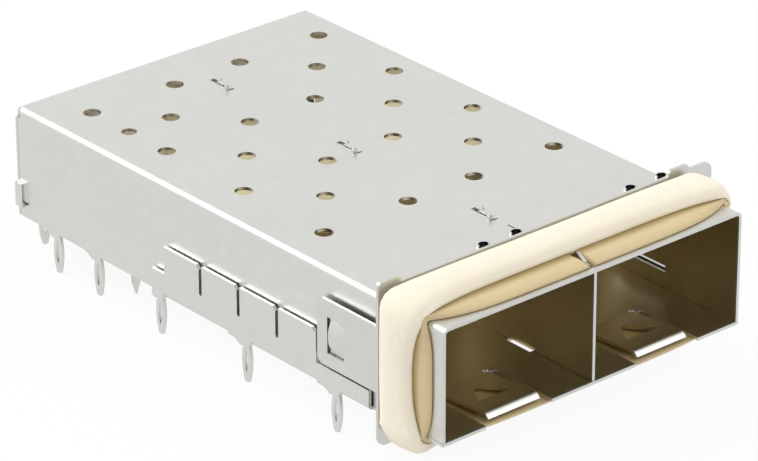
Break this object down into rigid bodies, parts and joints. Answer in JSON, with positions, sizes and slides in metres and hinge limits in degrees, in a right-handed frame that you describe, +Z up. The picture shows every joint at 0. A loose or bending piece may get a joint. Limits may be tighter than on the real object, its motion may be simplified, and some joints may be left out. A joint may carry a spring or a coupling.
{
  "type": "sfp cage",
  "caption": "Press-fit SFP cage of folded sheet metal: module bays side by side with latch tongues, vents, a board-side connector opening and an elastomer gasket round the nose.",
  "frame": {"origin": "on the board's top face, at the front edge of the cage's nose, in the plane of the divider", "axes": "+Z up from the board, +Y from the nose to the rear wall, +X to the right for someone who looks into the bays"},
  "size_m": [0.0327, 0.0489, 0.0139],
  "materials": {
    "sheet_metal": "satin plated sheet with bright cut edges",
    "spring_steel": "bright spring strip",
    "gasket_elastomer": "matt cream elastomer"
  },
  "bodies": {
    "root": {"cage_cover": "sheet_metal", "base_plate": "sheet_metal", "divider": "sheet_metal", "gasket_plate": "sheet_metal", "gasket": "gasket_elastomer", "ejector_spring_left": "spring_steel", "ejector_spring_right": "spring_steel"}
  },
  "joints": []
}
